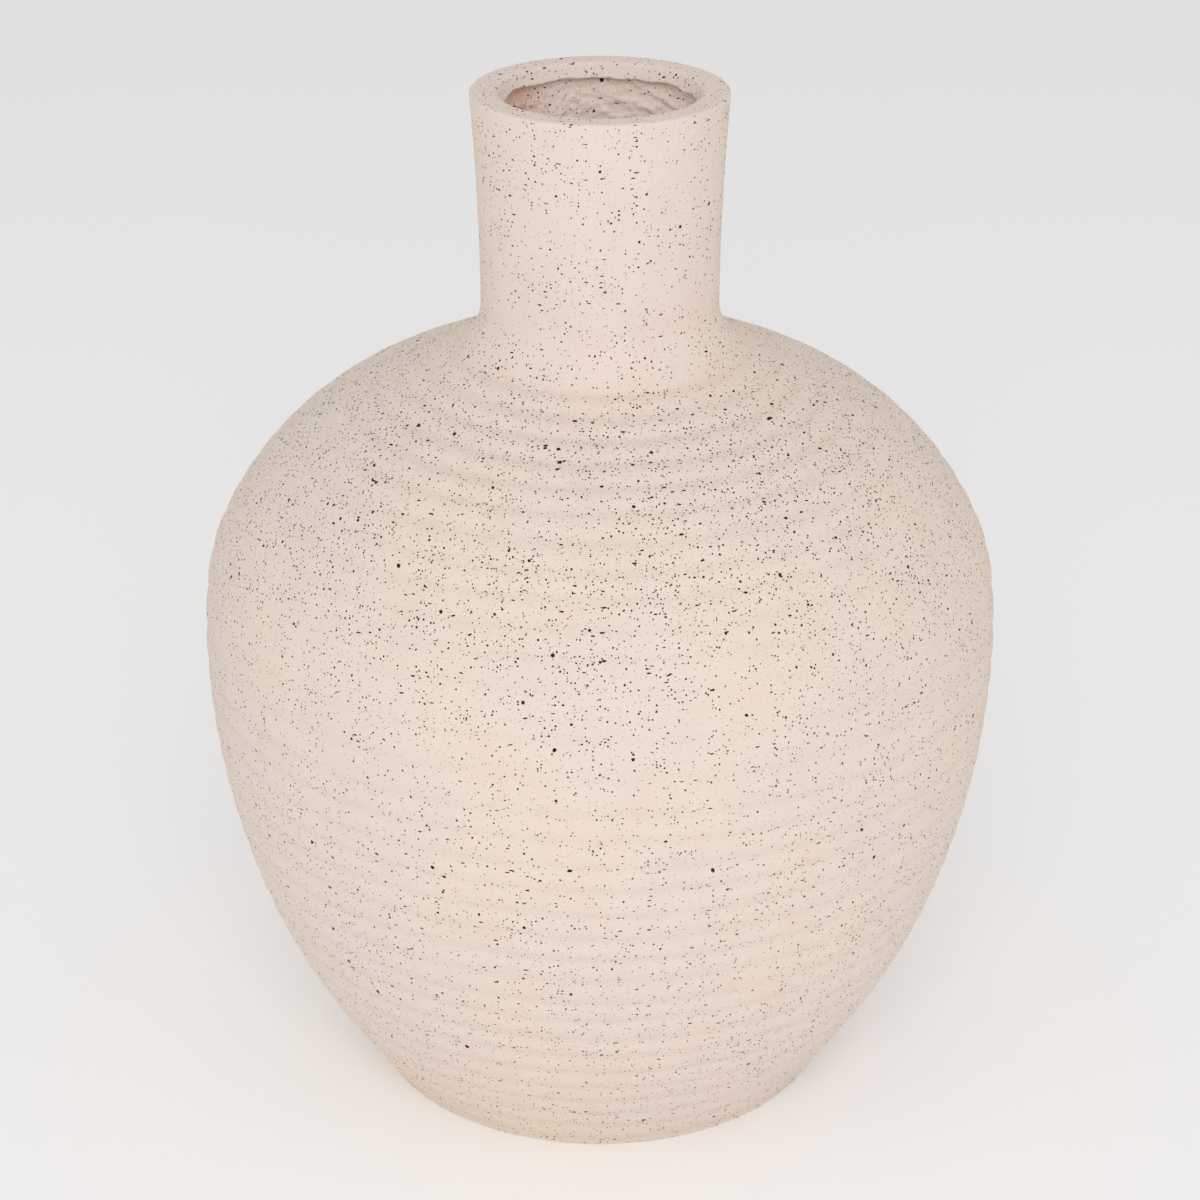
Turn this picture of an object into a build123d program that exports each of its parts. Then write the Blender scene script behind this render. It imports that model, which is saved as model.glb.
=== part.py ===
from build123d import *
from math import asin, cos, degrees, radians, tan
import os

# A large stoneware vase, built in sections as a potter builds one this size: a base slab, a lower
# bowl, an upper bowl turned over on it, a thrown neck and a rim coil, luted at lapped seams, with a
# coil of clay pressed over each seam on the inside.
# Millimetres. +Z is up, and the origin is the middle of the foot, on the surface it stands on.

# --- Driving dimensions ---
height = 400.0
belly_radius = 154.5
belly_height = 185.0
neck_radius = 45.0
wall = 8.0
floor_thickness = 12.0

# The outside turns inwards from the belly in tangent arcs, each (radius, turn in degrees). Below the
# last arc the flank runs straight to the foot, and above it straight to the neck's fillet.
lower_arcs = ((305.0, 19.5), (245.0, 13.5))
upper_arcs = ((180.0, 8.5), (58.0, 16.5), (120.0, 40.5))
neck_fillet = 20.0
neck_flare = 1050.0

# --- Foot ---
foot_edge_radius = 1.2
foot_ring_width = 17.0
foot_recess = 2.0

# --- Rim and mouth ---
mouth_radius = 35.0
mouth_land_top = 396.5
rim_edge_radius = 1.2

# --- Lapped seams between the sections ---
foot_seam_height = 5.0
floor_spigot_radius = 86.0
belly_seam_height = 190.0
rim_seam_height = 391.5
rim_lip_height = 394.0
rim_step_radius = 43.5
lap = 6.0

# --- Coils pressed over the seams on the inside ---
floor_coil_leg = 10.0
floor_coil_hollow = 1.5
belly_coil_width = 20.0
belly_coil_depth = 4.0
neck_coil_width = 16.0
neck_coil_depth = 3.0

# The lines that divide the sections run this far past the clay on both sides.
past_the_clay = 30.0

# The throat is rounded over with a quarter circle, from the land to the top of the rim.
throat_rounding = height - mouth_land_top
half_wall = wall / 2
flank_slope = sum(turn for _, turn in lower_arcs)
shoulder_slope = sum(turn for _, turn in upper_arcs)


def chain_arcs(start, tangent, arcs, inset, turn_sign):
    """Draw tangent arcs one after another, and return the last one's end and direction."""
    for radius, turn in arcs:
        arc = JernArc(start, tangent, radius - inset, turn_sign * turn)
        start = arc @ 1
        tangent = arc % 1
    return start, tangent


def lower_outline(inset, bottom):
    """Draw the outline from the belly down to a height, and return its end there."""
    start = (belly_radius - inset, belly_height)
    flank_top, down_flank = chain_arcs(start, (0, -1), lower_arcs, inset, -1)
    flank_end = flank_top + down_flank * ((flank_top.Y - bottom) / -down_flank.Y)
    Line(flank_top, flank_end)
    return flank_end


def upper_outline(inset, top):
    """Draw the outline from the belly up to a height, and return the fillet's start and the end."""
    start = (belly_radius - inset, belly_height)
    arcs_end, up_slope = chain_arcs(start, (0, 1), upper_arcs, inset, 1)
    run_to_neck = (arcs_end.X + inset * cos(radians(shoulder_slope)) - neck_radius) / -up_slope.X
    setback = neck_fillet * tan(radians(shoulder_slope / 2))
    fillet_start = arcs_end + up_slope * (run_to_neck - setback)
    Line(arcs_end, fillet_start)
    fillet_arc = JernArc(fillet_start, up_slope, neck_fillet + inset, -shoulder_slope)
    flare_start = fillet_arc @ 1
    flare_radius = neck_flare + inset
    flare_turn = degrees(asin((top - flare_start.Y) / flare_radius))
    flare = JernArc(flare_start, (0, 1), flare_radius, -flare_turn)
    return fillet_start, flare @ 1


# The whole wall and floor in section, before it is divided at the seams.
with BuildSketch() as clay_section:
    with BuildLine():
        fillet_start, outer_top = upper_outline(0, height)
        outer_foot = lower_outline(0, 0)
        _, inner_top = upper_outline(wall, height)
        inner_foot = lower_outline(wall, floor_thickness)
        Line(outer_top, inner_top)
        Polyline(inner_foot, (0, floor_thickness), (0, 0), outer_foot)
    make_face()

# Unit directions at the neck's seam: up the slope of the shoulder, and straight into the wall.
up_shoulder = Vector(0, 1).rotate(Axis.Z, shoulder_slope)
into_wall = Vector(-1, 0).rotate(Axis.Z, shoulder_slope)

# Each seam runs from outside the wall to inside it, with a lap at the middle of the wall.
far_right = belly_radius + past_the_clay
far_up = height + past_the_clay
foot_seam = (
    Vector(far_right, foot_seam_height),
    Vector(floor_spigot_radius, foot_seam_height),
    Vector(floor_spigot_radius, floor_thickness),
    Vector(0, floor_thickness),
)
belly_mid_wall = belly_radius - half_wall
belly_seam = (
    Vector(far_right, belly_seam_height - lap / 2),
    Vector(belly_mid_wall, belly_seam_height - lap / 2),
    Vector(belly_mid_wall, belly_seam_height + lap / 2),
    Vector(0, belly_seam_height + lap / 2),
)
neck_mid_wall = fillet_start + into_wall * half_wall
neck_lap_end = neck_mid_wall + up_shoulder * lap
neck_seam_inside = neck_lap_end + into_wall * past_the_clay
neck_seam = (
    Vector(far_right, far_up),
    fillet_start - into_wall * past_the_clay,
    neck_mid_wall,
    neck_lap_end,
    neck_seam_inside,
    Vector(0, neck_seam_inside.Y),
)
rim_seam = (
    Vector(far_right, rim_seam_height),
    Vector(rim_step_radius, rim_seam_height),
    Vector(rim_step_radius, rim_lip_height),
    Vector(0, rim_lip_height),
)

os.makedirs("parts", exist_ok=True)

# The base slab: a thrown disc with a raised spigot that stands up inside the lower bowl. Its edge is
# rounded, and a shallow recess underneath leaves a ring to stand on.
with BuildPart() as base_slab:
    with BuildSketch(Plane.XZ):
        add(clay_section.sketch_local)
        Polygon((0, 0), (far_right, 0), *foot_seam, align=None, mode=Mode.INTERSECT)
    revolve(axis=Axis.Z)
    foot_edge = base_slab.edges().filter_by(GeomType.CIRCLE).group_by(Axis.Z)[0].sort_by(Edge.length)[-1]
    fillet(foot_edge, foot_edge_radius)
    with BuildSketch(Plane.XY):
        Circle(outer_foot.X - foot_ring_width)
    extrude(amount=foot_recess, mode=Mode.SUBTRACT)
base_slab.part.label = "base_slab"
export_step(base_slab.part, "parts/base_slab.step")

# The lower bowl: it stands on the slab's edge and rises to a tongue on the inside at the belly.
with BuildPart() as lower_bowl:
    with BuildSketch(Plane.XZ):
        add(clay_section.sketch_local)
        Polygon(*foot_seam, *reversed(belly_seam), align=None, mode=Mode.INTERSECT)
    revolve(axis=Axis.Z)
lower_bowl.part.label = "lower_bowl"
export_step(lower_bowl.part, "parts/lower_bowl.step")

# The upper bowl: it drops over the lower bowl's tongue and closes in to the shoulder.
with BuildPart() as shoulder_bowl:
    with BuildSketch(Plane.XZ):
        add(clay_section.sketch_local)
        Polygon(*belly_seam, *reversed(neck_seam), align=None, mode=Mode.INTERSECT)
    revolve(axis=Axis.Z)
shoulder_bowl.part.label = "shoulder_bowl"
export_step(shoulder_bowl.part, "parts/shoulder_bowl.step")

# The neck: a thrown collar whose flared foot laps over the shoulder's opening.
with BuildPart() as neck:
    with BuildSketch(Plane.XZ):
        add(clay_section.sketch_local)
        Polygon(*neck_seam, *reversed(rim_seam), align=None, mode=Mode.INTERSECT)
    revolve(axis=Axis.Z)
neck.part.label = "neck"
export_step(neck.part, "parts/neck.step")

# The rim: a thick coil set on the neck, rounded over on the outside and smoothed inwards to a lip
# that overhangs the neck's inner wall. The lip's short straight land is the narrowest of the mouth.
with BuildPart() as rim:
    with BuildSketch(Plane.XZ):
        add(clay_section.sketch_local)
        Polygon(*rim_seam, (0, height), (far_right, height), align=None, mode=Mode.INTERSECT)
        with BuildLine():
            Line((rim_step_radius, rim_lip_height), (mouth_radius, rim_lip_height))
            land = Line((mouth_radius, rim_lip_height), (mouth_radius, mouth_land_top))
            throat = JernArc(land @ 1, land % 1, throat_rounding, -90)
            Polyline(throat @ 1, (rim_step_radius, height), (rim_step_radius, rim_lip_height))
        make_face()
    revolve(axis=Axis.Z)
    top_outer_edge = rim.edges().filter_by(GeomType.CIRCLE).group_by(Axis.Z)[-1].sort_by(Edge.length)[-1]
    fillet(top_outer_edge, rim_edge_radius)
rim.part.label = "rim"
export_step(rim.part, "parts/rim.step")

# The coil in the corner between the floor and the wall, wiped to a hollow curve with a finger.
up_flank = Vector(0, 1).rotate(Axis.Z, -flank_slope)
with BuildPart() as floor_coil:
    with BuildSketch(Plane.XZ):
        with BuildLine():
            on_floor = inner_foot - Vector(floor_coil_leg, 0)
            on_wall = inner_foot + up_flank * floor_coil_leg
            Polyline(on_floor, inner_foot, on_wall)
            SagittaArc(on_wall, on_floor, -floor_coil_hollow)
        make_face()
    revolve(axis=Axis.Z)
floor_coil.part.label = "floor_coil"
export_step(floor_coil.part, "parts/floor_coil.step")

# The flattened coil over the belly seam.
with BuildPart() as belly_coil:
    with BuildSketch(Plane.XZ):
        with Locations((belly_radius - wall, belly_seam_height + lap / 2)):
            Ellipse(belly_coil_depth, belly_coil_width / 2)
        add(clay_section.sketch_local, mode=Mode.SUBTRACT)
    revolve(axis=Axis.Z)
belly_coil.part.label = "belly_coil"
export_step(belly_coil.part, "parts/belly_coil.step")

# The flattened coil over the neck's seam, on the underside of the shoulder.
neck_seam_end = neck_lap_end + into_wall * half_wall
with BuildPart() as neck_coil:
    with BuildSketch(Plane.XZ):
        with Locations((neck_seam_end.X, neck_seam_end.Y)):
            Ellipse(neck_coil_depth, neck_coil_width / 2, rotation=shoulder_slope)
        add(clay_section.sketch_local, mode=Mode.SUBTRACT)
    revolve(axis=Axis.Z)
neck_coil.part.label = "neck_coil"
export_step(neck_coil.part, "parts/neck_coil.step")
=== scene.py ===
import math

import bpy
import numpy as np
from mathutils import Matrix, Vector


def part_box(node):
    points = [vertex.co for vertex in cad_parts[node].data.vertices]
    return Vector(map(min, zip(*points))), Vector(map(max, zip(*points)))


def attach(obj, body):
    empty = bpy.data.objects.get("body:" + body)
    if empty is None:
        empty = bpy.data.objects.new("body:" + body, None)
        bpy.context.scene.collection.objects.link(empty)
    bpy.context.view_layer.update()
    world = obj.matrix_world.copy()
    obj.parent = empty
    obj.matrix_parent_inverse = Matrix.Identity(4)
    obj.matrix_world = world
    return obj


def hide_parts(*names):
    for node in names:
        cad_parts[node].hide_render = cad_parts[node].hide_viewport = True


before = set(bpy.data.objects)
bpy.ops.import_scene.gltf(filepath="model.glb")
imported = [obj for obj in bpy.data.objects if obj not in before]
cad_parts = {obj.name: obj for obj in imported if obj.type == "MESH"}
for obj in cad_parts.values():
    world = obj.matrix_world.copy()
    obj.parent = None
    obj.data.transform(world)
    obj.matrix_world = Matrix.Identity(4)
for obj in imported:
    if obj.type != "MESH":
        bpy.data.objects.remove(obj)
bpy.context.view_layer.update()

# A large speckled stoneware vase, thrown in sections: base slab, lower bowl, shoulder bowl, neck and
# rim, with a coil of clay pressed over each seam on the inside. Metres, +Z up.

MM = 0.001

# --- Sizes taken from the frame ---
FOOT_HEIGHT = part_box("lower_bowl")[0].z
BELLY_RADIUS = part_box("lower_bowl")[1].x
BELLY_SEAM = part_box("shoulder_bowl")[0].z
BELLY_LAP_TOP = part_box("lower_bowl")[1].z
RIM_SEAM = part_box("rim")[0].z
LIP_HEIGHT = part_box("neck")[1].z
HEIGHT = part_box("rim")[1].z
FLOOR_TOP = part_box("base_slab")[1].z

# --- The potter's outline, the same arcs as the frame: (radius, turn in degrees) from the belly ---
BELLY_HEIGHT = 185 * MM
NECK_RADIUS = 45 * MM
WALL = 8 * MM
LOWER_ARCS = ((305 * MM, 19.5), (245 * MM, 13.5))
UPPER_ARCS = ((180 * MM, 8.5), (58 * MM, 16.5), (120 * MM, 40.5))
NECK_FILLET = 20 * MM
NECK_FLARE = 1050 * MM

# --- Foot, seams and mouth ---
FOOT_RING_WIDTH = 17 * MM
FOOT_RECESS = 2 * MM
FOOT_EDGE = 1.2 * MM
SPIGOT_RADIUS = 86 * MM
RECESS_EDGE = 0.8 * MM
RIM_STEP_RADIUS = 43.5 * MM
RIM_EDGE = 1.2 * MM
NECK_LAP = 6 * MM

# --- The rim's section, inwards: flat top, a rounded corner, a slope, then a thin torn lip ---
RIM_FLAT_END = 39.8 * MM
RIM_CORNER_RADIUS = 2.6 * MM
RIM_CORNER_TURN = 62
RIM_SLOPE = 4.0 * MM
LIP_EDGE = 0.55 * MM
LIP_TURN = 140
LIP_RADIUS = 35.3 * MM
UNDERCUT_RADIUS = 38.6 * MM
UNDERCUT_RISE = 1.2 * MM
TORN_WIDTH = 3.2 * MM
TORN_BELOW_TOP = 1.0 * MM
TEAR_DIRECTION = np.array([0.60, 0.90])

# --- Inside the neck: extra clay left under the lip, and how hard the wet hand dragged, by depth ---
SWELL_DEPTHS = np.array([0, 14, 32, 75]) * MM
SWELL = np.array([0, 1.5, 1.5, 0]) * MM
DRAG_DEPTHS = np.array([0, 3, 45, 80]) * MM
DRAG = (0, 1.0, 0.8, 0.25)

# --- Folds dragged across the inside of the neck: (degrees from +Y, mm below the top), rise, width ---
NECK_FOLDS = (
    (((14, 5.5), (24, 8.5), (44, 13.5), (58, 14.5)), 1.3 * MM, 1.4 * MM),
    (((-8, 12.0), (6, 13.2), (30, 16.5)), 0.8 * MM, 1.2 * MM),
)

# --- The coils inside: legs and hollow of the floor's coil, width and depth of the flattened ones ---
FLOOR_COIL_LEG = 10 * MM
FLOOR_COIL_CLIMB = 8.4 * MM
FLOOR_COIL_HOLLOW = 1.5 * MM
BELLY_COIL_WIDTH, BELLY_COIL_DEPTH = 20 * MM, 4 * MM
NECK_COIL_WIDTH, NECK_COIL_DEPTH = 16 * MM, 3 * MM

# --- How finely the clay is meshed ---
STEPS_AROUND = 360
NECK_STEPS_AROUND = 440
RIM_STEPS_AROUND = 720
COIL_STEPS_AROUND = 240
OUTLINE_STEP = 0.2 * MM
LIP_STEP = 0.18 * MM
FOOT_EDGE_STEP = 0.25 * MM
RECESS_EDGE_STEP = 0.3 * MM
RIM_STEP = 0.35 * MM
THROAT_STEP = 0.95 * MM
FINE_STEP = 1.2 * MM
SEAT_STEP = 1.5 * MM
FLOOR_STEP = 2.2 * MM
HIDDEN_STEP = 3.2 * MM
FLOOR_COIL_POINTS = 16
FLATTENED_COIL_POINTS = 21


# ---------------------------------------------------------------------------------------------
# Outline
# ---------------------------------------------------------------------------------------------


def walk_arc(point, heading, radius, turn, step):
    """Points along an arc from a point. Heading is in degrees from +r, and a left turn is positive."""
    count = max(2, int(radius * math.radians(abs(turn)) / step) + 1)
    angles = np.radians(heading + np.linspace(0, turn, count))
    side = math.copysign(radius, turn)
    start = math.radians(heading)
    across = point[0] + side * (np.sin(angles) - math.sin(start))
    up = point[1] - side * (np.cos(angles) - math.cos(start))
    return np.stack([across, up], 1), heading + turn


def chain(point, heading, arcs, step):
    """Points along tangent arcs, one after another."""
    runs = []
    for radius, turn in arcs:
        run, heading = walk_arc(point, heading, radius, turn, step)
        runs.append(run[:-1])
        point = run[-1]
    return np.concatenate(runs), point, heading


def wall_outline(inset):
    """The wall's outline from foot to rim, moved into the clay by inset: radius and height."""
    step = OUTLINE_STEP
    start = np.array([BELLY_RADIUS - inset, BELLY_HEIGHT])

    down_arcs = [(radius - inset, -turn) for radius, turn in LOWER_ARCS]
    below, flank_top, heading = chain(start, -90, down_arcs, step)
    down = np.array([math.cos(math.radians(heading)), math.sin(math.radians(heading))])
    flank = flank_top + down * np.arange(0, 1.05 * flank_top[1] / -down[1], step)[:, None]

    up_arcs = [(radius - inset, turn) for radius, turn in UPPER_ARCS]
    above, slope_foot, heading = chain(start, 90, up_arcs, step)
    slope = math.radians(heading - 90)
    up = np.array([-math.sin(slope), math.cos(slope)])
    to_neck = (slope_foot[0] + inset * math.cos(slope) - NECK_RADIUS) / math.sin(slope)
    straight = to_neck - NECK_FILLET * math.tan(slope / 2)
    fillet_start = slope_foot + up * straight
    shoulder = slope_foot + up * np.arange(0, straight, step)[:, None]
    fillet, _ = walk_arc(fillet_start, heading, NECK_FILLET + inset, 90 - heading, step)
    flare_radius = NECK_FLARE + inset
    flare_turn = math.degrees(math.asin((HEIGHT - fillet[-1][1]) / flare_radius))
    flare, _ = walk_arc(fillet[-1], 90, flare_radius, -flare_turn, step)

    runs = [flank[::-1], below[:0:-1], above, shoulder, fillet[:-1], flare]
    return np.concatenate(runs), fillet_start


OUTSIDE, FILLET_START = wall_outline(0)
INSIDE, _ = wall_outline(WALL)
OUTSIDE_RUN = np.concatenate([[0], np.cumsum(np.hypot(*np.diff(OUTSIDE, axis=0).T))])

# The fingers rise one ring's pitch with each turn of the wheel. The rings close up a little on the
# flank, widen where the belly was joined and close up again above it, to a last groove under the neck.
PITCH_HEIGHTS = np.array([0, 0.16, 0.40, 0.44, 0.46, 0.50, 0.53, 0.61, 0.66, 1.0]) * HEIGHT
PITCH = np.array([12.6, 11.2, 10.5, 10.0, 14.8, 14.2, 12.0, 9.8, 11.4, 11.6]) * MM
LAST_GROOVE = 0.755 * HEIGHT
WALL_STEPS = np.diff(OUTSIDE_RUN) / np.interp(OUTSIDE[1:, 1], PITCH_HEIGHTS, PITCH)
RINGS = np.concatenate([[0], np.cumsum(WALL_STEPS)])
RINGS -= np.interp(LAST_GROOVE, OUTSIDE[:, 1], RINGS) - 0.5

# How hard the potter's fingers pressed at each height, as a share of the full ring depth: light at
# the foot, firm at the belly, lighter above it and firm again at the top of the shoulder. The neck
# and the fillet under it are smoothed, with no rings.
RING_HEIGHTS = np.array([0, 0.10, 0.25, 0.40, 0.46, 0.52, 0.58, 0.66, 0.72, 0.75, 0.765]) * HEIGHT
RING_PRESS = np.array([0.45, 0.60, 0.76, 0.90, 1.05, 0.86, 0.60, 0.70, 0.90, 1.05, 0.0])


# ---------------------------------------------------------------------------------------------
# Sections through the clay. A section is a list of runs, and each run's row holds a point and how
# the clay there was worked: radius, height, count of rings up the wall, then three directions into the
# clay (radial, upward): fingers that press rings, a wet hand that smears, and a ragged torn edge.
# ---------------------------------------------------------------------------------------------

COLUMNS = 9
R, Z, RING, PRESS, SMEAR, TEAR = 0, 1, 2, slice(3, 5), slice(5, 7), slice(7, 9)


def resample(points, step):
    """Even steps along a line, corners rounded off by less than a step."""
    lengths = np.concatenate([[0], np.cumsum(np.hypot(*np.diff(points, axis=0).T))])
    count = max(2, int(round(lengths[-1] / step)) + 1)
    at = np.linspace(0, lengths[-1], count)
    return np.stack([np.interp(at, lengths, points[:, axis]) for axis in (0, 1)], 1)


def rows_for(points):
    rows = np.zeros((len(points), COLUMNS))
    rows[:, :2] = points
    rows[:, RING] = np.interp(points[:, 1], OUTSIDE[:, 1], RINGS)
    return rows


def wall_between(outline, low, high, step):
    """The stretch of an outline between two heights."""
    inner = (outline[:, 1] > low) & (outline[:, 1] < high)
    ends = [(np.interp(z, outline[:, 1], outline[:, 0]), z) for z in (low, high)]
    return resample(np.array([ends[0], *outline[inner], ends[1]]), step)


def into_clay(points, side):
    """Unit directions square to a line, into the clay: side is -1 on the outside, 1 on the inside."""
    along = np.gradient(points, axis=0)
    along /= np.hypot(*along.T)[:, None]
    return side * np.stack([along[:, 1], -along[:, 0]], 1)


def outside_run(low, high):
    """The outside of the wall, ringed by fingers."""
    points = wall_between(OUTSIDE, low, high, FINE_STEP)
    rows = rows_for(points)
    firmness = np.interp(points[:, 1], RING_HEIGHTS, RING_PRESS)
    rows[:, PRESS] = into_clay(points, -1) * firmness[:, None]
    return rows


def inside_run(low, high, step):
    """The inside of the wall, from the top down."""
    points = wall_between(INSIDE, low, high, step)
    rows = rows_for(points)
    firmness = np.interp(points[:, 1], RING_HEIGHTS, RING_PRESS)
    rows[:, PRESS] = into_clay(points, 1) * firmness[:, None]
    return rows[::-1]


def plain_run(*points, step=HIDDEN_STEP):
    """Straight faces between corners, as at a seam."""
    pieces = [resample(np.array([a, b]), step)[:-1] for a, b in zip(points, points[1:])]
    return rows_for(np.concatenate([*pieces, [points[-1]]]))


# ---------------------------------------------------------------------------------------------
# Meshes turned from a section
# ---------------------------------------------------------------------------------------------


def turn_on_wheel(name, runs, steps_around):
    """Turns a closed section, or one that starts and ends on the axis, into a mesh."""
    rows = [runs[0]]
    corners = [0]
    for run in runs[1:]:
        corners.append(sum(len(r) for r in rows) - 1)
        rows.append(run[1:])
    rows = np.concatenate(rows)
    has_poles = rows[0, R] < 1e-9
    if not has_poles:
        rows = rows[:-1]
    ring_rows = rows[1:-1] if has_poles else rows
    angles = np.linspace(0, 2 * math.pi, steps_around, endpoint=False)
    out = np.stack([np.cos(angles), np.sin(angles)], 1)

    def swept(radial, upward):
        flat = radial[:, None, None] * out[None]
        up = np.broadcast_to(upward[:, None, None], (*flat.shape[:2], 1))
        return np.concatenate([flat, up], 2).reshape(-1, 3)

    vertices = swept(ring_rows[:, R], ring_rows[:, Z])
    count = len(ring_rows)
    row_of = np.arange(count if not has_poles else count - 1)
    here, around = np.meshgrid(row_of, np.arange(steps_around), indexing="ij")
    above = (here + 1) % count
    beside = (around + 1) % steps_around
    quads = np.stack(
        [
            here * steps_around + around,
            here * steps_around + beside,
            above * steps_around + beside,
            above * steps_around + around,
        ],
        -1,
    ).reshape(-1, 4)
    faces = quads.tolist()
    if has_poles:
        bottom, top = len(vertices), len(vertices) + 1
        vertices = np.concatenate([vertices, [[0, 0, rows[0, Z]], [0, 0, rows[-1, Z]]]])
        last = (count - 1) * steps_around
        for step in range(steps_around):
            after = (step + 1) % steps_around
            faces.append((bottom, after, step))
            faces.append((last + step, last + after, top))

    mesh = bpy.data.meshes.new(name)
    mesh.from_pydata(vertices.tolist(), [], faces)
    extra = len(vertices) - count * steps_around

    def store(label, kind, values):
        values = np.concatenate([values, np.zeros((extra, *values.shape[1:]))])
        attribute = mesh.attributes.new(label, kind, "POINT")
        attribute.data.foreach_set("value" if values.ndim == 1 else "vector", values.ravel())

    store("ring", "FLOAT", np.repeat(ring_rows[:, RING], steps_around))
    store("press", "FLOAT_VECTOR", swept(*ring_rows[:, PRESS].T))
    store("smear", "FLOAT_VECTOR", swept(*ring_rows[:, SMEAR].T))
    store("tear", "FLOAT_VECTOR", swept(*ring_rows[:, TEAR].T))

    mesh.shade_smooth()
    offset = 1 if has_poles else 0
    corner_rows = np.array([c - offset for c in corners if not (has_poles and c == 0)])
    ends = np.zeros(len(mesh.edges) * 2, dtype=np.int32)
    mesh.edges.foreach_get("vertices", ends)
    edge_rows = ends.reshape(-1, 2) // steps_around
    sharp = (edge_rows[:, 0] == edge_rows[:, 1]) & np.isin(edge_rows[:, 0], corner_rows)
    attribute = mesh.attributes.new("sharp_edge", "BOOLEAN", "EDGE")
    attribute.data.foreach_set("value", sharp)
    return mesh


def raise_fold(mesh, path, rise, width):
    """A fold dragged across the inside of the neck, along a path written as in NECK_FOLDS."""
    places = np.zeros(len(mesh.vertices) * 3)
    mesh.vertices.foreach_get("co", places)
    places = places.reshape(-1, 3)
    radius = np.hypot(places[:, 0], places[:, 1])
    turned = np.arctan2(places[:, 0], places[:, 1])
    flat = np.stack([turned * NECK_RADIUS, places[:, 2]], 1)
    nearest = np.full(len(flat), np.inf)
    round_neck = [math.radians(degrees) * NECK_RADIUS for degrees, _ in path]
    heights = [HEIGHT - depth * MM for _, depth in path]
    steps = np.stack([round_neck, heights], 1)
    for start, end in zip(steps, steps[1:]):
        along = end - start
        share = np.clip((flat - start) @ along / (along @ along), 0, 1)
        nearest = np.minimum(nearest, np.hypot(*(flat - start - share[:, None] * along).T))
    lift = rise * np.exp(-((nearest / width) ** 2)) * (radius < NECK_RADIUS - WALL / 2)
    places[:, :2] *= 1 - (lift / np.maximum(radius, MM))[:, None]
    mesh.vertices.foreach_set("co", places.ravel())


# ---------------------------------------------------------------------------------------------
# Nodes
# ---------------------------------------------------------------------------------------------


def add(tree, kind, inputs=None, **settings):
    """Adds a node with its settings, and a value or a link for each input."""
    made = tree.nodes.new(kind)
    for name, value in settings.items():
        setattr(made, name, value)
    for key, value in (inputs or {}).items():
        if isinstance(value, bpy.types.NodeSocket):
            tree.links.new(value, made.inputs[key])
        else:
            made.inputs[key].default_value = value
    return made


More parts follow.
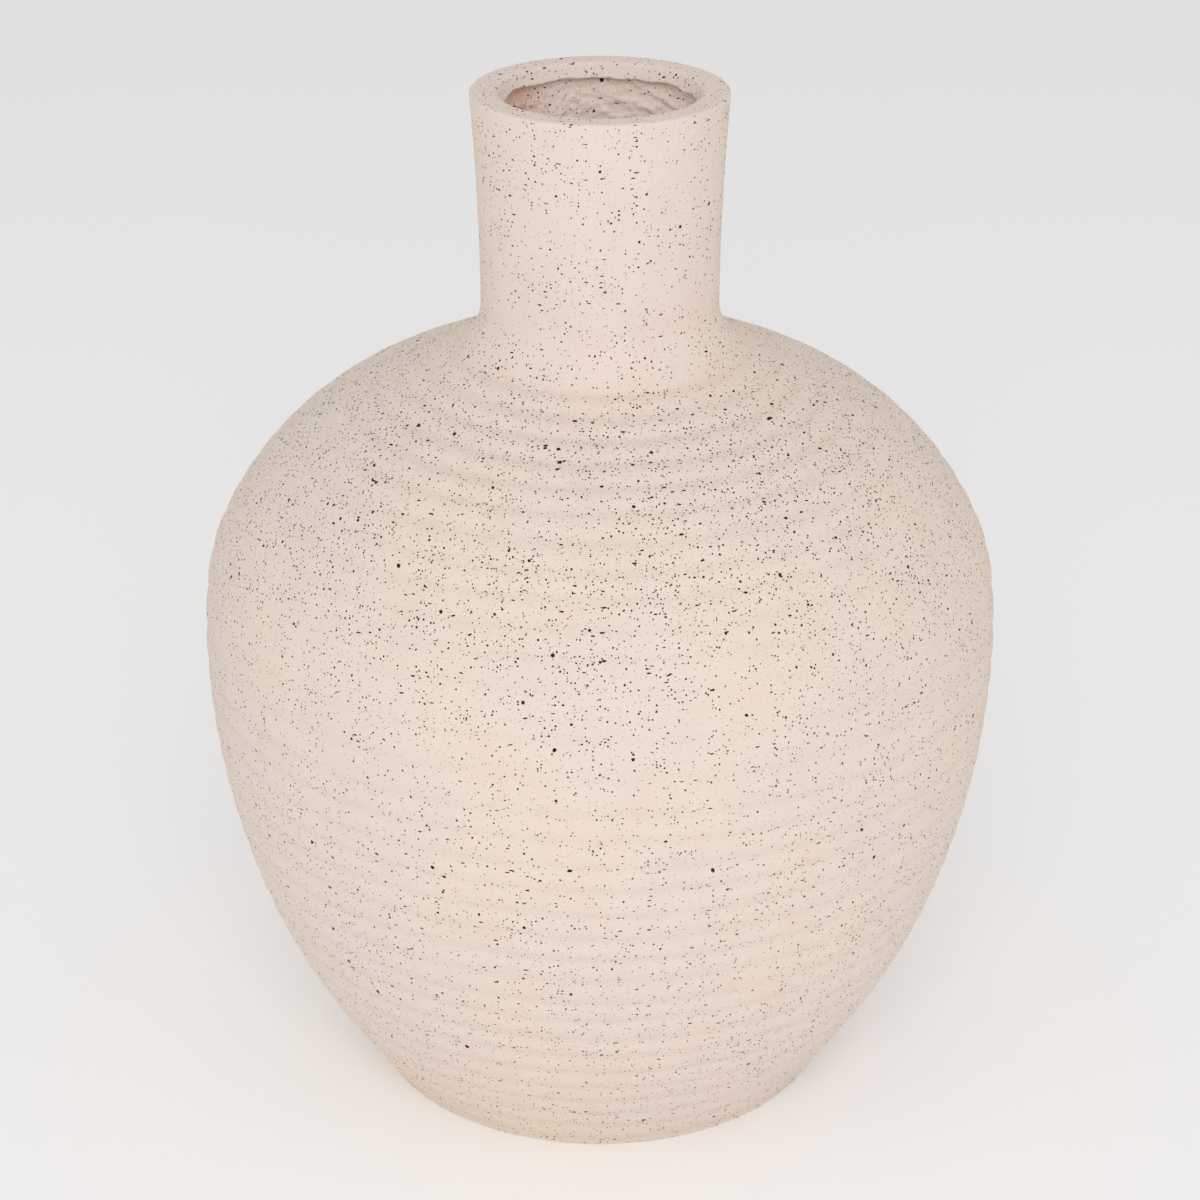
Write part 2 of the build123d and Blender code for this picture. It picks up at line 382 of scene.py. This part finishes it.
def hand_work_tree():
    """Geometry nodes for everything a hand leaves in the clay: rings, smears and torn edges."""
    tree = bpy.data.node_groups.new("hand_worked_clay", "GeometryNodeTree")
    socket = tree.interface.new_socket
    socket("Clay", in_out="INPUT", socket_type="NodeSocketGeometry")
    sizes = {
        "Ring depth": 1.0 * MM,
        "Ring wander": 0.5,
        "Smear depth": 1.9 * MM,
        "Smear size": 12 * MM,
        "Tear depth": 2.6 * MM,
        "Tear size": 9 * MM,
        "Seed": 4.0,
    }
    for name, value in sizes.items():
        made = socket(name, in_out="INPUT", socket_type="NodeSocketFloat")
        made.default_value = value
    socket("Finish", in_out="INPUT", socket_type="NodeSocketMaterial")
    socket("Clay", in_out="OUTPUT", socket_type="NodeSocketGeometry")

    given = tree.nodes.new("NodeGroupInput").outputs
    place = add(tree, "GeometryNodeInputPosition").outputs[0]

    def stored(name, kind):
        return add(tree, "GeometryNodeInputNamedAttribute", {"Name": name}, data_type=kind).outputs[0]

    ring = stored("ring", "FLOAT")
    press, smear, tear = (stored(name, "FLOAT_VECTOR") for name in ("press", "smear", "tear"))

    def maths(operation, a, b=0.0):
        return add(tree, "ShaderNodeMath", {0: a, 1: b}, operation=operation).outputs[0]

    def scaled(vector, factor):
        inputs = {0: vector, "Scale": factor}
        return add(tree, "ShaderNodeVectorMath", inputs, operation="SCALE").outputs[0]

    def noise(vector, w, detail=2.0, **more):
        inputs = {"Vector": vector, "W": w, "Scale": 1.0, "Detail": detail, **more}
        return add(tree, "ShaderNodeTexNoise", inputs, noise_dimensions="4D").outputs["Fac"]

    # Rings: finger marks that drift a little round the pot and differ in depth.
    each = add(tree, "ShaderNodeCombineXYZ", {"Z": maths("MULTIPLY", ring, 0.7)}).outputs[0]
    uneven = maths("MULTIPLY", maths("SUBTRACT", noise(each, given["Seed"]), 0.5), given["Ring wander"])
    slow = scaled(place, 1 / (95 * MM))
    drift = maths("MULTIPLY", maths("SUBTRACT", noise(slow, given["Seed"]), 0.5), given["Ring wander"])
    phase = maths("ADD", maths("ADD", ring, uneven), drift)
    wave = maths("COSINE", maths("MULTIPLY", phase, 2 * math.pi))
    groove = maths("SUBTRACT", 0.5, maths("MULTIPLY", wave, 0.5))
    narrow = maths("POWER", groove, 1.35)
    firm = maths("ADD", 0.55, maths("MULTIPLY", noise(each, maths("ADD", given["Seed"], 9.0)), 0.9))
    patch = noise(scaled(place, 1 / (60 * MM)), maths("ADD", given["Seed"], 3.0))
    firmness = maths("MULTIPLY", firm, maths("ADD", 0.5, patch))
    ring_depth = maths("MULTIPLY", maths("MULTIPLY", narrow, firmness), given["Ring depth"])
    ringed = scaled(press, ring_depth)

    # Smears: wet clay dragged round the inside by hand, in long level folds.
    level_folds = {0: place, 1: (1, 1, 4.2)}
    squeezed = add(tree, "ShaderNodeVectorMath", level_folds, operation="MULTIPLY").outputs[0]
    fold_size = {0: squeezed, 1: given["Smear size"]}
    folds_at = add(tree, "ShaderNodeVectorMath", fold_size, operation="DIVIDE").outputs[0]
    folds = noise(folds_at, given["Seed"], detail=4.0, Distortion=1.4)
    crease = maths("ABSOLUTE", maths("SUBTRACT", folds, 0.5))
    fold = maths("SUBTRACT", 0.22, maths("MULTIPLY", crease, 2.6))
    fold_depth = maths("MULTIPLY", fold, given["Smear depth"])
    smeared = scaled(smear, maths("MULTIPLY", fold_depth, 2.0))

    # Tears: the edge of a coil that was pushed inwards and never trimmed.
    tear_size = {0: place, 1: given["Tear size"]}
    tear_at = add(tree, "ShaderNodeVectorMath", tear_size, operation="DIVIDE").outputs[0]
    rip = maths("SUBTRACT", noise(tear_at, given["Seed"], detail=5.0), 0.47)
    torn = scaled(tear, maths("MULTIPLY", rip, maths("MULTIPLY", given["Tear depth"], 2.0)))

    moved = add(tree, "ShaderNodeVectorMath", {0: ringed, 1: smeared}, operation="ADD").outputs[0]
    moved = add(tree, "ShaderNodeVectorMath", {0: moved, 1: torn}, operation="ADD").outputs[0]
    worked = add(tree, "GeometryNodeSetPosition", {"Geometry": given["Clay"], "Offset": moved})
    whole = add(tree, "GeometryNodeRealizeInstances", {"Geometry": worked.outputs[0]})
    finish_inputs = {"Geometry": whole.outputs[0], "Material": given["Finish"]}
    finished = add(tree, "GeometryNodeSetMaterial", finish_inputs)
    out = tree.nodes.new("NodeGroupOutput")
    tree.links.new(finished.outputs[0], out.inputs[0])
    return tree


def work_clay(name, mesh, tree, finish):
    """Runs the hand-work tree on a turned mesh and keeps the result as a plain mesh."""
    blank = bpy.data.objects.new(name, mesh)
    bpy.context.scene.collection.objects.link(blank)
    modifier = blank.modifiers.new("hand_work", "NODES")
    modifier.node_group = tree
    for item in tree.interface.items_tree:
        if item.in_out == "INPUT" and item.socket_type != "NodeSocketGeometry":
            modifier[item.identifier] = finish if item.name == "Finish" else item.default_value
    graph = bpy.context.evaluated_depsgraph_get()
    plain = bpy.data.meshes.new_from_object(blank.evaluated_get(graph), depsgraph=graph)
    blank.modifiers.remove(modifier)
    blank.data = plain
    plain.name = name
    for label in ("ring", "press", "smear", "tear"):
        if label in plain.attributes:
            plain.attributes.remove(plain.attributes[label])
    return blank


# ---------------------------------------------------------------------------------------------
# Finishes
# ---------------------------------------------------------------------------------------------


def colour(hex_code):
    """An sRGB hex colour as the linear values Blender works in."""
    channels = [int(hex_code[i : i + 2], 16) / 255 for i in (1, 3, 5)]
    linear = [c / 12.92 if c <= 0.04045 else ((c + 0.055) / 1.055) ** 2.4 for c in channels]
    return (*linear, 1.0)


class Clay:
    """A material under construction: the maths and noise its patterns share."""

    def __init__(self, name):
        self.material = bpy.data.materials.new(name)
        self.material.use_nodes = True
        self.tree = self.material.node_tree
        self.tree.nodes.clear()
        self.place = self.add("ShaderNodeTexCoord").outputs["Object"]

    def add(self, kind, inputs=None, **settings):
        return add(self.tree, kind, inputs, **settings)

    def maths(self, operation, a, b=0.0, clamp=False):
        inputs = {0: a, 1: b}
        return self.add("ShaderNodeMath", inputs, operation=operation, use_clamp=clamp).outputs[0]

    def stretched(self, vector, scale):
        inputs = {0: vector, 1: scale}
        return self.add("ShaderNodeVectorMath", inputs, operation="MULTIPLY").outputs[0]

    def noise(self, size, detail=2.0, vector=None, output="Fac"):
        inputs = {"Vector": vector or self.place, "Scale": 1 / size, "Detail": detail}
        return self.add("ShaderNodeTexNoise", inputs).outputs[output]

    def ramp(self, value, low, high, to_low=0.0, to_high=1.0):
        inputs = {0: value, 1: low, 2: high, 3: to_low, 4: to_high}
        return self.add("ShaderNodeMapRange", inputs, clamp=True).outputs[0]

    def mixed(self, share, first, second):
        inputs = {0: share, 6: first, 7: second}
        return self.add("ShaderNodeMix", inputs, data_type="RGBA").outputs[2]

    def finish_skin(self, tint, rough, bump, specular):
        inputs = {"Base Color": tint, "Roughness": rough, "Normal": bump.outputs[0]}
        shader = self.add("ShaderNodeBsdfPrincipled", inputs)
        shader.inputs["Specular IOR Level"].default_value = specular
        self.add("ShaderNodeOutputMaterial", {"Surface": shader.outputs[0]})


SMALLEST_GRAIN = 0.38
GRAIN_EDGE = 0.06 * MM
GRAIN_WOBBLE = 0.9 * MM
HAIR_TILT = (0.7, 0.5, 0.3)
FLASH_PLACE = (-31 * MM, 25 * MM, LIP_HEIGHT - 3 * MM)


def iron_specks(clay, warped, cell, radius, fill, stretch=(1, 1, 1), crowd=None):
    """Grains of iron ore through the clay: how much of a grain shows at a point, and its own number.

    cell is the spacing of the grains, radius their largest radius, and fill the share of cells that
    hold a grain. The surface cuts each grain where it happens to lie, so they show at every size."""
    vector = clay.stretched(warped, stretch)
    inputs = {"Vector": vector, "Scale": 1 / cell}
    cells = clay.add("ShaderNodeTexVoronoi", inputs)
    parts = clay.add("ShaderNodeSeparateColor", {0: cells.outputs["Color"]}).outputs
    size = clay.ramp(parts[1], 0, 1, SMALLEST_GRAIN * radius / cell, radius / cell)
    edge = GRAIN_EDGE / cell
    inside = clay.maths("DIVIDE", clay.maths("SUBTRACT", size, cells.outputs["Distance"]), edge)
    limit = clay.maths("MULTIPLY", crowd, fill) if crowd else fill
    held = clay.maths("LESS_THAN", parts[0], limit)
    shown = clay.maths("MULTIPLY", inside, held, clamp=True)
    return shown, parts[2]


def wobbled_place(clay):
    """The place on the pot, shaken a little, so that no grain is a perfect dot."""
    wobble = clay.noise(2.2 * MM, 2.0, output="Color")
    centred = {0: wobble, 1: (0.5, 0.5, 0.5)}
    shift = clay.add("ShaderNodeVectorMath", centred, operation="SUBTRACT").outputs[0]
    shrunk = {0: shift, "Scale": GRAIN_WOBBLE}
    shift = clay.add("ShaderNodeVectorMath", shrunk, operation="SCALE").outputs[0]
    return clay.add("ShaderNodeVectorMath", {0: clay.place, 1: shift}, operation="ADD").outputs[0]


def crowding(clay, height):
    """How thickly the grains lie: in loose swarms, thick on the shoulder, thinner above and below."""
    swarm = clay.ramp(clay.noise(22 * MM, 3.0), 0.30, 0.70, 0.42, 1.06)
    swarm = clay.maths("MULTIPLY", swarm, clay.ramp(height, 195 * MM, 262 * MM, 0.57, 1.18))
    return clay.maths("MULTIPLY", swarm, clay.ramp(height, 290 * MM, 314 * MM, 1.0, 0.50))


def inside_neck(clay, height):
    """1 on the skin inside the neck, under the rim's lip, and 0 on the rest of the pot."""
    level = clay.stretched(clay.place, (1, 1, 0))
    out_from_axis = clay.add("ShaderNodeVectorMath", {0: level}, operation="LENGTH").outputs["Value"]
    within = clay.ramp(out_from_axis, 41.6 * MM, 42.4 * MM, 1, 0)
    below_lip = clay.ramp(height, LIP_HEIGHT, LIP_HEIGHT + 0.8 * MM, 1, 0)
    return clay.maths("MULTIPLY", within, below_lip)


def clay_body(clay, throat):
    """Cream drifting to a cool pink, clouded. Down inside the neck, where the skin is wiped, it is
    painted paler: a painted highlight for light reaching into the mouth. There is also a pink flash
    where the fire caught it."""
    drift = clay.noise(70 * MM, 2.0)
    body = clay.mixed(clay.ramp(drift, 0.38, 0.64), colour("#E9D9CA"), colour("#E6D7CE"))
    cloud = clay.noise(16 * MM, 3.0)
    body = clay.mixed(clay.ramp(cloud, 0.40, 0.75, 0.0, 0.35), body, colour("#E2CFBF"))
    # Painted highlight: the skin inside the neck is painted paler, standing in for light that reaches
    # into the mouth.
    body = clay.mixed(throat, body, colour("#F4E3D8"))
    from_flash = {0: clay.place, 1: FLASH_PLACE}
    flash = clay.add("ShaderNodeVectorMath", from_flash, operation="DISTANCE").outputs["Value"]
    flashed = clay.maths("MULTIPLY", clay.ramp(flash, 1 * MM, 13 * MM, 0.7, 0.0), throat)
    return clay.mixed(flashed, body, colour("#DDB196"))


def iron_stains(clay, body, crowd):
    """The body with its iron in it, from dust to large grains, flecks and hairs. Also gives where
    the iron has burnt out to a pit."""
    warped = wobbled_place(clay)
    tilt = {"Vector": warped, "Rotation": HAIR_TILT}
    hair_at = clay.add("ShaderNodeVectorRotate", tilt, rotation_type="EULER_XYZ").outputs[0]
    large, large_hue = iron_specks(clay, warped, 5.6 * MM, 0.88 * MM, 0.58, crowd=crowd)
    middle, middle_hue = iron_specks(clay, warped, 2.7 * MM, 0.54 * MM, 0.78, crowd=crowd)
    small, _ = iron_specks(clay, warped, 1.30 * MM, 0.43 * MM, 0.80, crowd=crowd)
    dust, _ = iron_specks(clay, warped, 0.85 * MM, 0.23 * MM, 1.0, crowd=crowd)
    fleck, _ = iron_specks(clay, warped, 3.3 * MM, 0.60 * MM, 0.80, (0.60, 0.60, 1.9), crowd)
    hair, _ = iron_specks(clay, hair_at, 3.6 * MM, 0.42 * MM, 0.40, (0.40, 1.6, 2.2), crowd)
    hue = clay.maths("MAXIMUM", large_hue, middle_hue)
    iron = clay.mixed(clay.ramp(hue, 0.84, 1.0), colour("#301306"), colour("#702C16"))
    grains = clay.maths("MAXIMUM", large, middle)
    burnt_out = clay.maths("MAXIMUM", grains, clay.maths("MAXIMUM", fleck, hair))
    stained = clay.mixed(clay.maths("MULTIPLY", dust, 0.75), body, colour("#7A4A2C"))
    stained = clay.mixed(small, stained, colour("#3C1806"))
    return clay.mixed(burnt_out, stained, iron), burnt_out


def sanded_relief(clay, burnt_out, throat):
    """A fine sandy tooth, pits where iron burnt out, and level drag marks inside the neck."""
    tooth = clay.maths("MULTIPLY", clay.noise(0.55 * MM, 3.0), 0.45)
    grain = clay.maths("MULTIPLY", clay.noise(2.6 * MM, 3.0), 0.75)
    pits = clay.maths("MULTIPLY", burnt_out, -0.9)
    relief = clay.maths("ADD", clay.maths("ADD", tooth, grain), pits)
    drag = clay.noise(5 * MM, 4.0, vector=clay.stretched(clay.place, (1, 1, 7)))
    dragged = clay.maths("MULTIPLY", clay.maths("MULTIPLY", drag, throat), 9.0)
    return clay.maths("ADD", relief, dragged)


def make_speckled_stoneware():
    """Speckled stoneware, fired bare to a matt skin and faintly sanded.

    Iron grains have burnt out to near-black dots and flecks, a few of them bleeding rust."""
    clay = Clay("speckled_stoneware")
    height = clay.add("ShaderNodeSeparateXYZ", {0: clay.place}).outputs[2]
    throat = inside_neck(clay, height)
    stained, burnt_out = iron_stains(clay, clay_body(clay, throat), crowding(clay, height))
    rough = clay.ramp(clay.noise(9 * MM, 3.0), 0.3, 0.7, 0.70, 0.86)
    relief = sanded_relief(clay, burnt_out, throat)
    bump = clay.add("ShaderNodeBump", {"Strength": 0.35, "Distance": 0.10 * MM, "Height": relief})
    clay.finish_skin(stained, rough, bump, 0.28)
    return clay.material


def make_bare_clay():
    """The same clay wiped by hand on the inside, darker and sandier, with drag marks round the pot."""
    clay = Clay("hand_wiped_clay")
    drag = clay.stretched(clay.place, (1, 1, 5))
    streaks = clay.noise(9 * MM, 4.0, vector=drag)
    body = clay.mixed(clay.ramp(streaks, 0.35, 0.70), colour("#DCC9B8"), colour("#CDB8A6"))
    small, _ = iron_specks(clay, clay.place, 2.3 * MM, 0.40 * MM, 0.80)
    middle, _ = iron_specks(clay, clay.place, 4.2 * MM, 0.62 * MM, 0.70)
    specks = clay.maths("MAXIMUM", small, middle)
    stained = clay.mixed(specks, body, colour("#3B2B24"))
    grit = clay.noise(0.8 * MM, 3.0)
    relief = clay.maths("ADD", clay.maths("MULTIPLY", streaks, 1.6), clay.maths("MULTIPLY", grit, 0.6))
    bump = clay.add("ShaderNodeBump", {"Strength": 0.5, "Distance": 0.20 * MM, "Height": relief})
    rough = clay.ramp(grit, 0.3, 0.7, 0.82, 0.94)
    clay.finish_skin(stained, rough, bump, 0.2)
    return clay.material


# ---------------------------------------------------------------------------------------------
# The sections of the pot
# ---------------------------------------------------------------------------------------------


def outside_at(height):
    return np.array([np.interp(height, OUTSIDE[:, 1], OUTSIDE[:, 0]), height])


def inside_at(height):
    return np.array([np.interp(height, INSIDE[:, 1], INSIDE[:, 0]), height])


def neck_seam():
    """Corners of the neck's lapped seam, from the outside in."""
    slope = math.radians(sum(turn for _, turn in UPPER_ARCS))
    inwards = -np.array([math.cos(slope), math.sin(slope)])
    upwards = np.array([-math.sin(slope), math.cos(slope)])
    middle = FILLET_START + inwards * WALL / 2
    lap_end = middle + upwards * NECK_LAP
    inner = lap_end + inwards * WALL / 2
    return FILLET_START, middle, lap_end, inside_at(inner[1])


BELLY_MID_WALL = BELLY_RADIUS - WALL / 2


def base_slab_runs():
    flank_turn = 90 - sum(turn for _, turn in LOWER_ARCS)
    ring_outer = outside_at(0)[0] - FOOT_EDGE * math.tan(math.radians(flank_turn / 2))
    recess_edge = outside_at(0)[0] - FOOT_RING_WIDTH
    recess_end = (recess_edge - RECESS_EDGE, FOOT_RECESS)
    corner, _ = walk_arc(recess_end, 0, RECESS_EDGE, -90, RECESS_EDGE_STEP)
    turned, _ = walk_arc((ring_outer, 0), 0, FOOT_EDGE, flank_turn, FOOT_EDGE_STEP)
    slab_top = (SPIGOT_RADIUS, FLOOR_TOP)
    under = plain_run((0, FOOT_RECESS), recess_end, step=FLOOR_STEP)
    inner_edge = rows_for(np.array([*corner, (recess_edge, 0.0)]))
    ring = plain_run((recess_edge, 0.0), (ring_outer, 0.0), step=SEAT_STEP)
    rounded = rows_for(turned)
    flank = outside_run(turned[-1][1], FOOT_HEIGHT)
    seat = plain_run(flank[-1, :2], (SPIGOT_RADIUS, FOOT_HEIGHT), slab_top)
    floor = plain_run(slab_top, (0, FLOOR_TOP), step=FLOOR_STEP)
    return [under, inner_edge, ring, rounded, flank, seat, floor]


def lower_bowl_runs():
    outer = outside_run(FOOT_HEIGHT, BELLY_SEAM)
    tongue_foot, tongue_top = (BELLY_MID_WALL, BELLY_SEAM), (BELLY_MID_WALL, BELLY_LAP_TOP)
    inner = inside_run(FLOOR_TOP, BELLY_LAP_TOP, HIDDEN_STEP)
    seam = plain_run(outer[-1, :2], tongue_foot, tongue_top, inner[0, :2])
    toe = (SPIGOT_RADIUS, FLOOR_TOP)
    sole = plain_run(inner[-1, :2], toe, (SPIGOT_RADIUS, FOOT_HEIGHT), outer[0, :2])
    return [outer, seam, inner, sole]


def shoulder_bowl_runs():
    corner, middle, lap_end, seam_inside = neck_seam()
    outer = outside_run(BELLY_SEAM, corner[1])
    inner = inside_run(BELLY_LAP_TOP, seam_inside[1], HIDDEN_STEP)
    seam = plain_run(outer[-1, :2], middle, lap_end, inner[0, :2])
    rebate = [(BELLY_MID_WALL, BELLY_LAP_TOP), (BELLY_MID_WALL, BELLY_SEAM)]
    sole = plain_run(inner[-1, :2], *rebate, outer[0, :2])
    return [outer, seam, inner, sole]


def neck_runs():
    corner, middle, lap_end, seam_inside = neck_seam()
    outer = outside_run(corner[1], RIM_SEAM)
    inner = inside_run(seam_inside[1], LIP_HEIGHT, THROAT_STEP)
    depth = LIP_HEIGHT - inner[:, Z]
    outwards = into_clay(inner[:, :2], -1)
    inner[:, R] -= np.interp(depth, SWELL_DEPTHS, SWELL)
    inner[:, SMEAR] = outwards * np.interp(depth, DRAG_DEPTHS, DRAG)[:, None]
    step_foot, step_top = (RIM_STEP_RADIUS, RIM_SEAM), (RIM_STEP_RADIUS, LIP_HEIGHT)
    seam = plain_run(outer[-1, :2], step_foot, step_top, inner[0, :2], step=SEAT_STEP)
    sole = plain_run(inner[-1, :2], lap_end, middle, outer[0, :2])
    return [outer, seam, inner, sole]


def rim_runs():
    """The rim: rounded over outside, flat on top, then sloping in to a thin torn lip."""
    edge_start = outside_at(HEIGHT - RIM_EDGE)
    outer = outside_run(RIM_SEAM, edge_start[1])
    rolled, _ = walk_arc(edge_start, 90, RIM_EDGE, 90, RIM_STEP)
    flat_end = (RIM_FLAT_END, HEIGHT)
    throat, heading = walk_arc(flat_end, 180, RIM_CORNER_RADIUS, RIM_CORNER_TURN, RIM_STEP)
    downhill = np.array([math.cos(math.radians(heading)), math.sin(math.radians(heading))])
    slope_end = throat[-1] + RIM_SLOPE * downhill
    tip, _ = walk_arc(slope_end, heading, LIP_EDGE, LIP_TURN, LIP_STEP)
    land = resample(np.array([rolled[-1], throat[0]]), RIM_STEP)
    slope = resample(np.array([throat[-1], slope_end]), RIM_STEP)
    skin = np.concatenate([outer[-1:, :2], rolled[1:], land[1:], throat[1:], slope[1:], tip[1:]])
    undercut_top = (UNDERCUT_RADIUS, LIP_HEIGHT + UNDERCUT_RISE)
    undercut = resample(np.array([skin[-1], undercut_top, inside_at(LIP_HEIGHT)]), RIM_STEP)
    lip = rows_for(np.concatenate([skin, undercut[1:]]))
    nearness = np.clip(1 - (lip[:, R] - LIP_RADIUS) / TORN_WIDTH, 0, 1) ** 1.3
    nearness[lip[:, Z] > HEIGHT - TORN_BELOW_TOP] = 0
    lip[:, TEAR] = TEAR_DIRECTION * nearness[:, None]
    corners = [(RIM_STEP_RADIUS, LIP_HEIGHT), (RIM_STEP_RADIUS, RIM_SEAM)]
    sole = plain_run(lip[-1, :2], *corners, outer[0, :2], step=SEAT_STEP)
    return [outer, lip, sole]


def floor_coil_runs():
    """The coil in the corner of the floor, wiped to a hollow curve with a finger."""
    corner = inside_at(FLOOR_TOP)
    on_wall = inside_at(FLOOR_TOP + FLOOR_COIL_CLIMB)
    on_floor = corner - np.array([FLOOR_COIL_LEG, 0])
    share = np.linspace(0, 1, FLOOR_COIL_POINTS)[:, None]
    chord = on_wall + (on_floor - on_wall) * share
    towards = corner - (on_wall + on_floor) / 2
    towards /= np.hypot(*towards)
    wiped = rows_for(chord + towards * FLOOR_COIL_HOLLOW * (1 - (2 * share - 1) ** 2))
    wiped[1:-1, SMEAR] = towards
    return [plain_run(corner, on_wall), wiped, plain_run(on_floor, corner)]


def flattened_coil_runs(seam_height, width, depth):
    """A coil pressed flat over a seam on the inside of the wall."""
    middle = np.interp(seam_height, INSIDE[:, 1], np.arange(len(INSIDE)))
    lengths = np.concatenate([[0], np.cumsum(np.hypot(*np.diff(INSIDE, axis=0).T))])
    centre = lengths[int(middle)]
    at = centre + np.linspace(-width / 2, width / 2, FLATTENED_COIL_POINTS)
    back = np.stack([np.interp(at, lengths, INSIDE[:, axis]) for axis in (0, 1)], 1)
    swell = np.sqrt(np.clip(1 - ((at - centre) / (width / 2)) ** 2, 0, 1))
    to_wall = into_clay(back, 1)
    bulge = rows_for(back - to_wall * depth * swell[:, None])
    bulge[1:-1, SMEAR] = to_wall[1:-1]
    return [rows_for(back), bulge[::-1]]


# ---------------------------------------------------------------------------------------------
# The pieces
# ---------------------------------------------------------------------------------------------

hand_work = hand_work_tree()
stoneware = make_speckled_stoneware()
wiped_clay = make_bare_clay()


def make_piece(node, runs, finish, steps_around, folds=()):
    """One section or coil of the pot, standing for the CAD node of the same name."""
    mesh = turn_on_wheel(node, runs, steps_around)
    for path, rise, width in folds:
        raise_fold(mesh, path, rise, width)
    piece = work_clay(f"{node}_clay", mesh, hand_work, finish)
    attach(piece, "root")
    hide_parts(node)


thrown = {
    "base_slab": (base_slab_runs(), STEPS_AROUND, ()),
    "lower_bowl": (lower_bowl_runs(), STEPS_AROUND, ()),
    "shoulder_bowl": (shoulder_bowl_runs(), STEPS_AROUND, ()),
    "neck": (neck_runs(), NECK_STEPS_AROUND, NECK_FOLDS),
    "rim": (rim_runs(), RIM_STEPS_AROUND, ()),
}
for node, (runs, steps_around, folds) in thrown.items():
    make_piece(node, runs, stoneware, steps_around, folds)

neck_seam_height = neck_seam()[3][1]
coils = {
    "floor_coil": floor_coil_runs(),
    "belly_coil": flattened_coil_runs(BELLY_LAP_TOP, BELLY_COIL_WIDTH, BELLY_COIL_DEPTH),
    "neck_coil": flattened_coil_runs(neck_seam_height, NECK_COIL_WIDTH, NECK_COIL_DEPTH),
}
for node, runs in coils.items():
    make_piece(node, runs, wiped_clay, COIL_STEPS_AROUND)


# ---------------------------------------------------------------------------------------------
# Stage, lights and camera
# ---------------------------------------------------------------------------------------------


def make_stage_paper():
    """Plain white studio paper, with no pattern."""
    paper = bpy.data.materials.new("stage_paper")
    paper.use_nodes = True
    shader = paper.node_tree.nodes["Principled BSDF"]
    shader.inputs["Base Color"].default_value = colour("#FFFFFF")
    shader.inputs["Emission Color"].default_value = colour("#FFFFFF")
    shader.inputs["Emission Strength"].default_value = 0.02
    shader.inputs["Roughness"].default_value = 0.9
    shader.inputs["Specular IOR Level"].default_value = 0.1
    return paper


bpy.ops.mesh.primitive_plane_add(size=60, location=(0, 0, 0))
floor = bpy.context.object
floor.name = "stage_floor"
floor.data.materials.append(make_stage_paper())

scene = bpy.context.scene
scene.view_settings.view_transform = "Standard"
world = bpy.data.worlds.new("studio_world")
world.use_nodes = True
scene.world = world
backdrop = world.node_tree.nodes["Background"]
backdrop.inputs["Color"].default_value = colour("#FFFFFF")
backdrop.inputs["Strength"].default_value = 0.67


def point_at(thing, target):
    aim = Vector(target) - thing.location
    thing.rotation_euler = aim.to_track_quat("-Z", "Y").to_euler()


def soft_light(name, place, size, power):
    lamp = bpy.data.lights.new(name, "AREA")
    lamp.shape = "DISK"
    lamp.size = size
    lamp.energy = power
    thing = bpy.data.objects.new(name, lamp)
    scene.collection.objects.link(thing)
    thing.location = place
    point_at(thing, (0, 0, HEIGHT / 2))


soft_light("key_softbox", (0.0, -2.5, 1.75), 1.8, 25)
soft_light("left_softbox", (-2.7, -1.2, 1.0), 2.0, 4)
soft_light("right_softbox", (2.7, -1.2, 1.0), 2.0, 4)

elevation = math.radians(24.7)
distance = 3.056 * HEIGHT
target = (0, 0, 0.4845 * HEIGHT)
lens = bpy.data.cameras.new("camera")
lens.lens = 93
lens.sensor_width = 36
camera = bpy.data.objects.new("camera", lens)
scene.collection.objects.link(camera)
camera.location = (0, -distance * math.cos(elevation), target[2] + distance * math.sin(elevation))
point_at(camera, target)
lens.dof.use_dof = False
lens.clip_start = 0.05
scene.camera = camera
